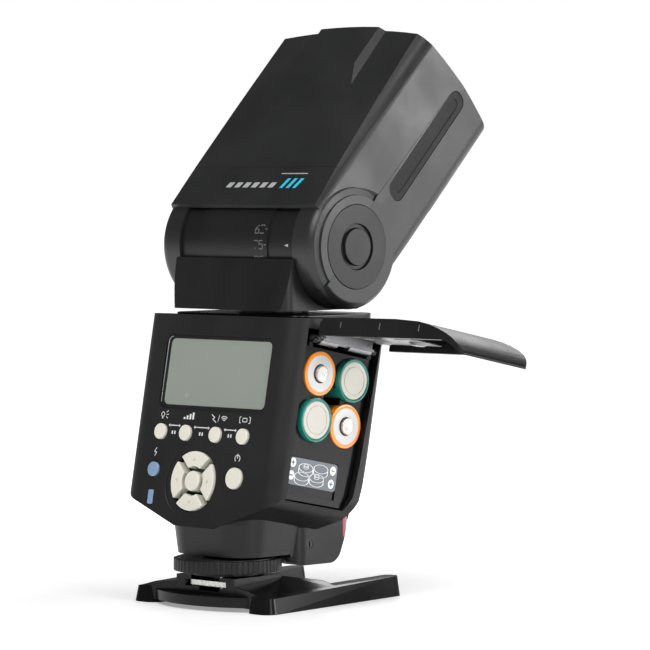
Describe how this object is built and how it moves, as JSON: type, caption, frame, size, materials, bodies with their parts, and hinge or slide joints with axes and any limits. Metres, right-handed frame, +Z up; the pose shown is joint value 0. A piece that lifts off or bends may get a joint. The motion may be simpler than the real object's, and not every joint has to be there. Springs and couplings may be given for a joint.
{
  "type": "speedlight camera flash",
  "caption": "Battery speedlight flash with a tilting and turning head, control panel with display, opening battery door and hot-shoe foot on a mini stand.",
  "frame": {"origin": "underside of the mini stand, on the axis of its tripod thread and shoe", "axes": "+Z up, +Y the way the flash shoots, +X to the battery door; the control panel faces -Y"},
  "size_m": [0.1412, 0.1094, 0.1932],
  "materials": {
    "black_satin": "satin",
    "black_gloss": "gloss",
    "black_soft": "matte",
    "steel": "satin",
    "chrome": "polished",
    "brass": "satin",
    "ivory": "satin",
    "lamp_blue": "gloss",
    "lcd_grey": "polished",
    "lcd_cell": "matte",
    "board_green": "satin",
    "red_window": "gloss",
    "orange_cell": "gloss",
    "green_cell": "gloss",
    "label_grey": "satin",
    "capacitor_blue": "gloss",
    "clear": "polished",
    "tube_glass": "polished",
    "mirror_alu": "polished",
    "white_card": "matte"
  },
  "bodies": {
    "stand": {"stand": "black_gloss"},
    "chassis": {"foot_plate": "steel", "foot_pedestal": "black_satin", "centre_contact": "brass", "base_housing": "black_satin", "sensor_window": "red_window", "base_screws": "steel", "rear_housing": "black_satin", "front_housing": "black_satin", "top_plateau": "black_gloss", "lcd_window": "lcd_grey", "lcd_module": "lcd_cell", "status_lamp": "lamp_blue", "control_board": "board_green", "battery_cage": "black_gloss", "battery_contacts": "brass", "cells_orange": "orange_cell", "cells_green": "green_cell", "polarity_label": "label_grey", "hinge_pin": "steel", "main_capacitor": "capacitor_blue", "power_board": "board_green", "sync_socket": "steel"},
    "wheel": {"lock_wheel": "black_satin"},
    "clamp": {"clamp_plate": "black_satin"},
    "pin": {"lock_pin": "steel"},
    "swivel": {"pan_shaft": "black_satin", "neck_shell": "black_satin", "barrel": "black_satin", "tilt_axle": "steel"},
    "head": {"head_upper": "black_satin", "head_top": "black_gloss", "head_lower": "black_satin", "side_grips": "black_soft", "pivot_caps": "black_satin", "front_bezel": "black_satin", "fresnel_lens": "clear", "guide_rods": "steel", "zoom_motor": "steel", "lead_screw": "steel"},
    "carriage": {"zoom_carriage": "black_satin", "reflector": "mirror_alu", "xenon_tube": "tube_glass"},
    "diffuser": {"wide_panel": "clear"},
    "card": {"bounce_card": "white_card"},
    "bracket": {"door_bracket": "chrome"},
    "door": {"door_shell": "black_satin", "door_contacts": "chrome"},
    "flap": {"port_cover": "black_soft"},
    "b_button_1": {"button_1": "ivory"},
    "b_button_2": {"button_2": "ivory"},
    "b_button_3": {"button_3": "ivory"},
    "b_button_4": {"button_4": "ivory"},
    "b_button_pilot": {"button_pilot": "lamp_blue"},
    "b_button_power": {"button_power": "ivory"},
    "b_button_ok": {"button_ok": "ivory"},
    "b_pad_up": {"pad_up": "ivory"},
    "b_pad_down": {"pad_down": "ivory"},
    "b_pad_left": {"pad_left": "ivory"},
    "b_pad_right": {"pad_right": "ivory"}
  },
  "joints": [
    {"name": "flash_slide", "type": "slide", "parent": "stand", "child": "chassis", "axis": [0, 1, 0], "range_m": [-0.022, 0]},
    {"name": "lock_wheel_turn", "type": "hinge", "parent": "chassis", "child": "wheel", "pos_m": [0, 0, 0.014], "axis": [0, 0, 1], "range_deg": [0, 120]},
    {"name": "clamp_lift", "type": "slide", "parent": "chassis", "child": "clamp", "axis": [0, 0, 1], "range_m": [0, 0.0004]},
    {"name": "pin_lift", "type": "slide", "parent": "chassis", "child": "pin", "axis": [0, 0, 1], "range_m": [0, 0.001]},
    {"name": "head_pan", "type": "hinge", "parent": "chassis", "child": "swivel", "pos_m": [0, 0.022, 0.098], "axis": [0, 0, 1], "range_deg": [-90, 180]},
    {"name": "head_tilt", "type": "hinge", "parent": "swivel", "child": "head", "pos_m": [0, 0.0244, 0.119], "axis": [1, 0, 0], "range_deg": [-52, 45]},
    {"name": "zoom_travel", "type": "slide", "parent": "head", "child": "carriage", "axis": [0, 0.7071, 0.7071], "range_m": [-0.01, 0]},
    {"name": "diffuser_pull", "type": "slide", "parent": "head", "child": "diffuser", "axis": [0, 0.7071, 0.7071], "range_m": [0, 0.03]},
    {"name": "card_pull", "type": "slide", "parent": "head", "child": "card", "axis": [0, 0.7071, 0.7071], "range_m": [0, 0.03]},
    {"name": "door_swing", "type": "hinge", "parent": "chassis", "child": "bracket", "pos_m": [0.033, 0.02224, 0.08641], "axis": [0, -0.9816, 0.1908], "range_deg": [-90, 0]},
    {"name": "door_slide", "type": "slide", "parent": "bracket", "child": "door", "axis": [1, 0, 0], "range_m": [-0.0025, 0]},
    {"name": "flap_open", "type": "hinge", "parent": "chassis", "child": "flap", "pos_m": [-0.0403, 0.0201, 0.05861], "axis": [0, -0.1908, -0.9816], "range_deg": [0, 110]},
    {"name": "button_1_press", "type": "slide", "parent": "chassis", "child": "b_button_1", "axis": [0, 0.9816, -0.1908], "range_m": [0, 0.0006], "stiffness_N_per_m": 900},
    {"name": "button_2_press", "type": "slide", "parent": "chassis", "child": "b_button_2", "axis": [0, 0.9816, -0.1908], "range_m": [0, 0.0006], "stiffness_N_per_m": 900},
    {"name": "button_3_press", "type": "slide", "parent": "chassis", "child": "b_button_3", "axis": [0, 0.9816, -0.1908], "range_m": [0, 0.0006], "stiffness_N_per_m": 900},
    {"name": "button_4_press", "type": "slide", "parent": "chassis", "child": "b_button_4", "axis": [0, 0.9816, -0.1908], "range_m": [0, 0.0006], "stiffness_N_per_m": 900},
    {"name": "pilot_press", "type": "slide", "parent": "chassis", "child": "b_button_pilot", "axis": [0, 0.9816, -0.1908], "range_m": [0, 0.0006], "stiffness_N_per_m": 900},
    {"name": "power_press", "type": "slide", "parent": "chassis", "child": "b_button_power", "axis": [0, 0.9816, -0.1908], "range_m": [0, 0.0006], "stiffness_N_per_m": 900},
    {"name": "ok_press", "type": "slide", "parent": "chassis", "child": "b_button_ok", "axis": [0, 0.9816, -0.1908], "range_m": [0, 0.0006], "stiffness_N_per_m": 900},
    {"name": "pad_up_press", "type": "slide", "parent": "chassis", "child": "b_pad_up", "axis": [0, 0.9816, -0.1908], "range_m": [0, 0.0006], "stiffness_N_per_m": 900},
    {"name": "pad_down_press", "type": "slide", "parent": "chassis", "child": "b_pad_down", "axis": [0, 0.9816, -0.1908], "range_m": [0, 0.0006], "stiffness_N_per_m": 900},
    {"name": "pad_left_press", "type": "slide", "parent": "chassis", "child": "b_pad_left", "axis": [0, 0.9816, -0.1908], "range_m": [0, 0.0006], "stiffness_N_per_m": 900},
    {"name": "pad_right_press", "type": "slide", "parent": "chassis", "child": "b_pad_right", "axis": [0, 0.9816, -0.1908], "range_m": [0, 0.0006], "stiffness_N_per_m": 900}
  ],
  "couplings": [
    {"joint": "clamp_lift", "follows": "lock_wheel_turn", "m_per_rad": 0.00019099},
    {"joint": "pin_lift", "follows": "lock_wheel_turn", "m_per_rad": 0.00047746}
  ]
}
